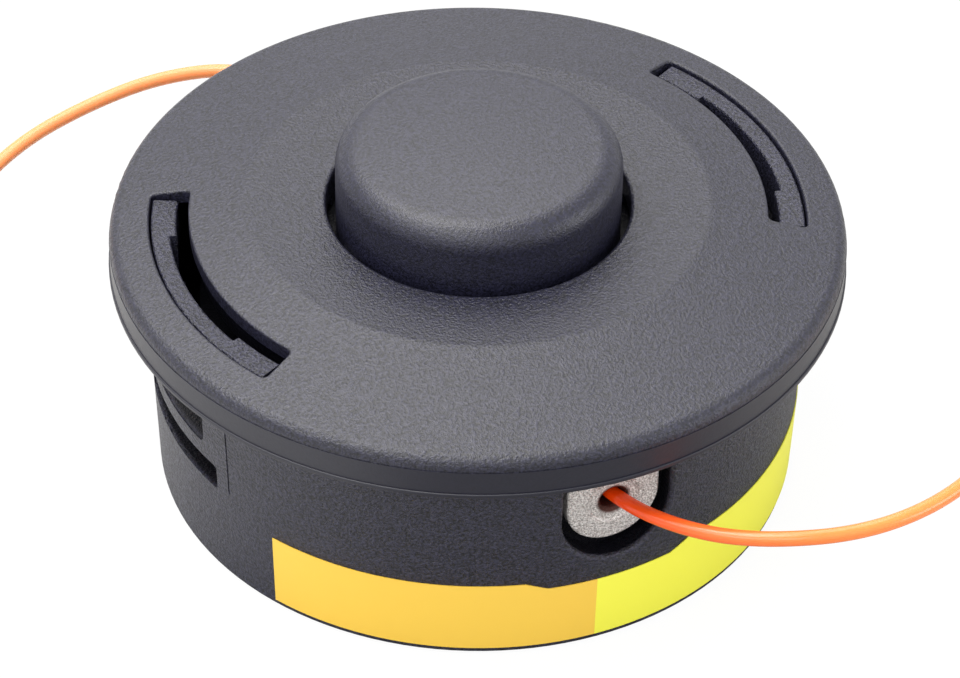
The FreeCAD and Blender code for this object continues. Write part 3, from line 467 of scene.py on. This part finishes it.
def line_tail(name, node, route, side, material):
    """A free tail of line: a round tube on a smooth NURBS curve that the route's points draw along."""
    points = tail_points(route, side)
    curve = bpy.data.curves.new(name, "CURVE")
    curve.dimensions = "3D"
    curve.bevel_depth = LINE_DIAMETER / 2
    curve.bevel_resolution = 8
    curve.resolution_u = 24
    curve.use_fill_caps = True
    spline = curve.splines.new("NURBS")
    spline.points.add(len(points) - 1)
    weighted = np.concatenate([points, np.ones((len(points), 1))], axis=1)
    spline.points.foreach_set("co", weighted.ravel())
    spline.order_u = 3
    spline.use_endpoint_u = True
    tail = bpy.data.objects.new(name, curve)
    bpy.context.scene.collection.objects.link(tail)
    dress(tail, material)
    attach(tail, "head")
    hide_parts(node)


def soft_edges(obj, angle):
    """Smooth shading, with edges sharper than an angle kept sharp."""
    obj.data.shade_smooth()
    obj.data.set_sharp_from_angle(angle=math.radians(angle))


def feed_spring(material):
    """The coil: a wire circle carried along a helix whose end turns close up.

    The rise per turn is small in the end turns and eases up, as 3 e squared less 2 e cubed, to an even pitch
    between them. The climb is the running sum of that rise, scaled to the spring's length.
    """
    steps, sides = 360, 14
    turn = np.linspace(0.0, SPRING_TURNS, steps)
    from_end = np.minimum(turn, SPRING_TURNS - turn) / SPRING_CLOSED_TURNS
    ease = np.clip(from_end - 0.5, 0.0, 1.0)
    rise = SPRING_CLOSED_RISE + ease ** 2 * (3 - 2 * ease)
    climb = np.concatenate([[0.0], np.cumsum((rise[1:] + rise[:-1]) / 2)])
    length = SPRING_TOP - SPRING_FOOT
    angle = 2 * np.pi * turn
    radial = np.stack([np.cos(angle), np.sin(angle), np.zeros(steps)], axis=-1)
    centre = SPRING_RADIUS * radial
    centre[:, 2] = SPRING_FOOT + SPRING_WIRE / 2 + (length - SPRING_WIRE) * climb / climb[-1]
    tangent = np.gradient(centre, axis=0)
    tangent /= np.linalg.norm(tangent, axis=1, keepdims=True)
    across = np.cross(tangent, radial)
    around = np.linspace(0.0, 2 * np.pi, sides, endpoint=False)
    ring = np.cos(around)[None, :, None] * radial[:, None] + np.sin(around)[None, :, None] * across[:, None]
    spring = grid_mesh("feed_spring_coil", centre[:, None] + SPRING_WIRE / 2 * ring, close_v=True, caps=True)
    soft_edges(spring, 50)
    dress(spring, material)
    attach(spring, "spring")
    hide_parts("feed_spring")
    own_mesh(spring)


def threaded_insert(material):
    """The insert as one closed ring of sections round the axis: flange, hexagon, shank and threaded bore.

    A hexagon's radius is half the flats over cos of the angle from the nearest flat. The left-hand thread's
    radius is a triangle wave of height plus pitch times angle, cut flat at its root and its crest, and
    widened at both mouths by a chamfer.
    """
    around, per_pitch = 192, 12
    angle = np.linspace(0.0, 2 * np.pi, around, endpoint=False)
    circle = np.ones(around)
    hexagon = INSERT_ACROSS_FLATS / 2 / np.cos(np.mod(angle, np.pi / 3) - np.pi / 6)
    outside = [
        (circle * (INSERT_FLANGE_RADIUS - INSERT_EDGE), INSERT_FOOT),
        (circle * INSERT_FLANGE_RADIUS, INSERT_FOOT + INSERT_EDGE),
        (circle * INSERT_FLANGE_RADIUS, INSERT_FLANGE_TOP - INSERT_EDGE),
        (circle * (INSERT_FLANGE_RADIUS - INSERT_EDGE), INSERT_FLANGE_TOP),
        (hexagon, INSERT_FLANGE_TOP),
        (hexagon, INSERT_HEX_TOP),
        (circle * INSERT_SHANK_RADIUS, INSERT_HEX_TOP),
        (circle * INSERT_SHANK_RADIUS, INSERT_TOP - INSERT_EDGE),
        (circle * (INSERT_SHANK_RADIUS - INSERT_EDGE), INSERT_TOP),
    ]
    rows = [np.stack([r * np.cos(angle), r * np.sin(angle), np.full(around, z)], axis=-1) for r, z in outside]
    levels = int((INSERT_TOP - INSERT_FOOT) / THREAD_PITCH) * per_pitch + 1
    z = np.linspace(INSERT_TOP, INSERT_FOOT, levels)[:, None]
    phase = np.mod(z / THREAD_PITCH + angle[None, :] / (2 * np.pi), 1.0)
    wave = np.clip(THREAD_STEEPNESS * (1 - np.abs(2 * phase - 1)) - THREAD_ROOT_FLAT, 0.0, 1.0)
    thread = THREAD_MINOR_RADIUS + (THREAD_MAJOR_RADIUS - THREAD_MINOR_RADIUS) * wave
    from_mouth = np.minimum(INSERT_TOP - z, z - INSERT_FOOT)
    radius = np.maximum(thread, THREAD_MINOR_RADIUS + INSERT_MOUTH - from_mouth)
    depth = np.broadcast_to(z, radius.shape)
    bore = np.stack([radius * np.cos(angle), radius * np.sin(angle), depth], axis=-1)
    sections = np.concatenate([np.stack(rows), bore])
    insert = grid_mesh("threaded_insert_ring", sections, close_u=True, close_v=True)
    soft_edges(insert, 25)
    dress(insert, material)
    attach(insert, "head")
    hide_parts("threaded_insert")


def direction(azimuth, elevation):
    """The unit vector at an azimuth and an elevation."""
    a, e = math.radians(azimuth), math.radians(elevation)
    return Vector((math.cos(a) * math.cos(e), math.sin(a) * math.cos(e), math.sin(e)))


def place_camera():
    """The camera on a sphere round its target, rolled about its own axis."""
    back = direction(CAMERA_AZIMUTH, CAMERA_ELEVATION)
    data = bpy.data.cameras.new("camera")
    data.lens = CAMERA_LENS
    data.sensor_width = SENSOR_WIDTH
    data.clip_start = CAMERA_NEAR
    camera = bpy.data.objects.new("camera", data)
    bpy.context.scene.collection.objects.link(camera)
    aim = (-back).to_track_quat("-Z", "Y").to_matrix() @ Matrix.Rotation(math.radians(CAMERA_ROLL), 3, "Z")
    camera.matrix_world = Matrix.Translation(Vector(CAMERA_TARGET) + back * CAMERA_DISTANCE) @ aim.to_4x4()
    bpy.context.scene.camera = camera


def softbox(name, azimuth, elevation, width, height, radiance, tint):
    """A rectangular area light that faces the head; its power follows from the radiance of its face."""
    data = bpy.data.lights.new(name, "AREA")
    data.shape = "RECTANGLE"
    data.size = width
    data.size_y = height
    data.energy = radiance * math.pi * width * height
    data.color = colour(tint)[:3]
    light = bpy.data.objects.new(name, data)
    bpy.context.scene.collection.objects.link(light)
    back = direction(azimuth, elevation)
    aim = back.to_track_quat("Z", "Y").to_matrix().to_4x4()
    light.matrix_world = Matrix.Translation(back * SOFTBOX_DISTANCE) @ aim


def ray_value(tree, others, seen, mirrored):
    """A number by the kind of ray: seen directly or through clear pieces, mirrored in gloss, or others."""
    rays = add_node(tree, "ShaderNodeLightPath").outputs
    direct = add_node(tree, "ShaderNodeMath", {
        0: rays["Is Camera Ray"], 1: rays["Is Transmission Ray"],
    }, operation="MAXIMUM").outputs["Value"]
    shown = add_node(tree, "ShaderNodeMix", {0: rays["Is Glossy Ray"], 2: others, 3: mirrored}).outputs[0]
    return add_node(tree, "ShaderNodeMix", {0: direct, 2: shown, 3: seen}).outputs[0]


def painted_side_tone(tree, place, angle, near, far, tone):
    """The paper's tone in gloss on one side: painted light graded from the front's painted shadow, at a near
    distance, to another.
    """
    return add_node(tree, "ShaderNodeMapRange", {
        "Value": distance_along(tree, place, angle), "From Min": near, "From Max": far,
        "To Min": PAPER_MIRRORED_FRONT, "To Max": tone,
    }).outputs["Result"]


def surroundings():
    """A plain white world, dimmer as a light than it looks."""
    world = bpy.data.worlds.new("studio")
    bpy.context.scene.world = world
    world.use_nodes = True
    tree = world.node_tree
    tree.nodes.clear()
    strength = ray_value(tree, WORLD_STRENGTH, 1.0, 1.0)
    background = add_node(tree, "ShaderNodeBackground", {"Color": (1.0, 1.0, 1.0, 1.0), "Strength": strength})
    add_node(tree, "ShaderNodeOutputWorld", {"Surface": background.outputs["Background"]})


def paper_floor():
    """A floor of white paper that looks white and keeps a faint shadow.

    In gloss it is a mid tone with painted shadow and light: darker in front and paler to the left and the
    right, as the drum mirrors it.
    """
    side = np.array([-FLOOR_HALF_WIDTH, FLOOR_HALF_WIDTH])
    points = np.stack(np.broadcast_arrays(side[None, :], side[:, None], FLOOR_HEIGHT), axis=-1)
    floor = grid_mesh("floor", points)
    material, tree, place = new_material("white_paper")
    to_left = painted_side_tone(tree, place, PAPER_LEFT_ANGLE, PAPER_LEFT_NEAR, PAPER_LEFT_FAR,
                        PAPER_MIRRORED_LEFT)
    to_right = painted_side_tone(tree, place, PAPER_RIGHT_ANGLE, PAPER_RIGHT_NEAR, PAPER_RIGHT_FAR,
                         PAPER_MIRRORED_RIGHT)
    mirrored = add_node(tree, "ShaderNodeMath", {
        0: to_left, 1: to_right,
    }, operation="MAXIMUM").outputs["Value"]
    tone = ray_value(tree, PAPER_BOUNCE, PAPER_SEEN, mirrored)
    paper = add_node(tree, "ShaderNodeBsdfDiffuse", {"Color": tone})
    lift = ray_value(tree, 0.0, PAPER_LIFT, 0.0)
    glow = add_node(tree, "ShaderNodeEmission", {"Color": (1.0, 1.0, 1.0, 1.0), "Strength": lift})
    both = add_node(tree, "ShaderNodeAddShader", {0: paper.outputs["BSDF"], 1: glow.outputs["Emission"]})
    finish_material(tree, both.outputs["Shader"])
    dress(floor, material)


place_camera()
surroundings()
paper_floor()
for softbox_name, settings in SOFTBOXES.items():
    softbox(softbox_name, *settings)

# The housing's pockets get painted shade
housing_nylon = moulded_nylon("housing_nylon", "#05050e", "#323246", grain_depth=0.45 * MM, roughness=0.4,
                              pockets=HOUSING_POCKETS)
cover_nylon = moulded_nylon("cover_nylon", "#080812", "#2a2a3c", grain_depth=0.22 * MM, roughness=0.36,
                            polished_below=RIM_STEP_HEIGHT)
# The spool below the cover gets painted shade
knob_nylon = moulded_nylon("knob_nylon", "#0b0b17", "#27273a", grain_depth=0.14 * MM, roughness=0.36,
                           pockets=SPOOL_UNDER_COVER)
alloy = bead_blasted_alloy("bead_blasted_zinc")
# The tails' paler outer colours are painted light; the rear tail's, paler still, is painted backlight
line = drawn_nylon_line("drawn_nylon_line", "#fd8e48", FRONT_TAIL_FADE)
painted_backlit_line = drawn_nylon_line("painted_backlit_nylon_line", "#fd9c62", REAR_TAIL_FADE)

dress(nodes["housing"], housing_nylon)
dress(nodes["cover"], cover_nylon)
dress(nodes["spool_with_bump_knob"], knob_nylon)
dress(nodes["eyelet_front"], alloy)
dress(nodes["eyelet_rear"], alloy)
dress(nodes["label_band"], label_film("label_film"))
dress(nodes["line_winding_lower"], line)
dress(nodes["line_winding_upper"], line)
line_tail("front_line_tail", "line_tail_front", FRONT_TAIL_ROUTE, 1, line)
line_tail("rear_line_tail", "line_tail_rear", REAR_TAIL_ROUTE, -1, painted_backlit_line)
feed_spring(drawn_steel("spring_steel", "#8f9194", 0.3))
threaded_insert(drawn_steel("turned_steel", "#9c9da0", 0.38))

bpy.context.scene.view_settings.view_transform = "Standard"
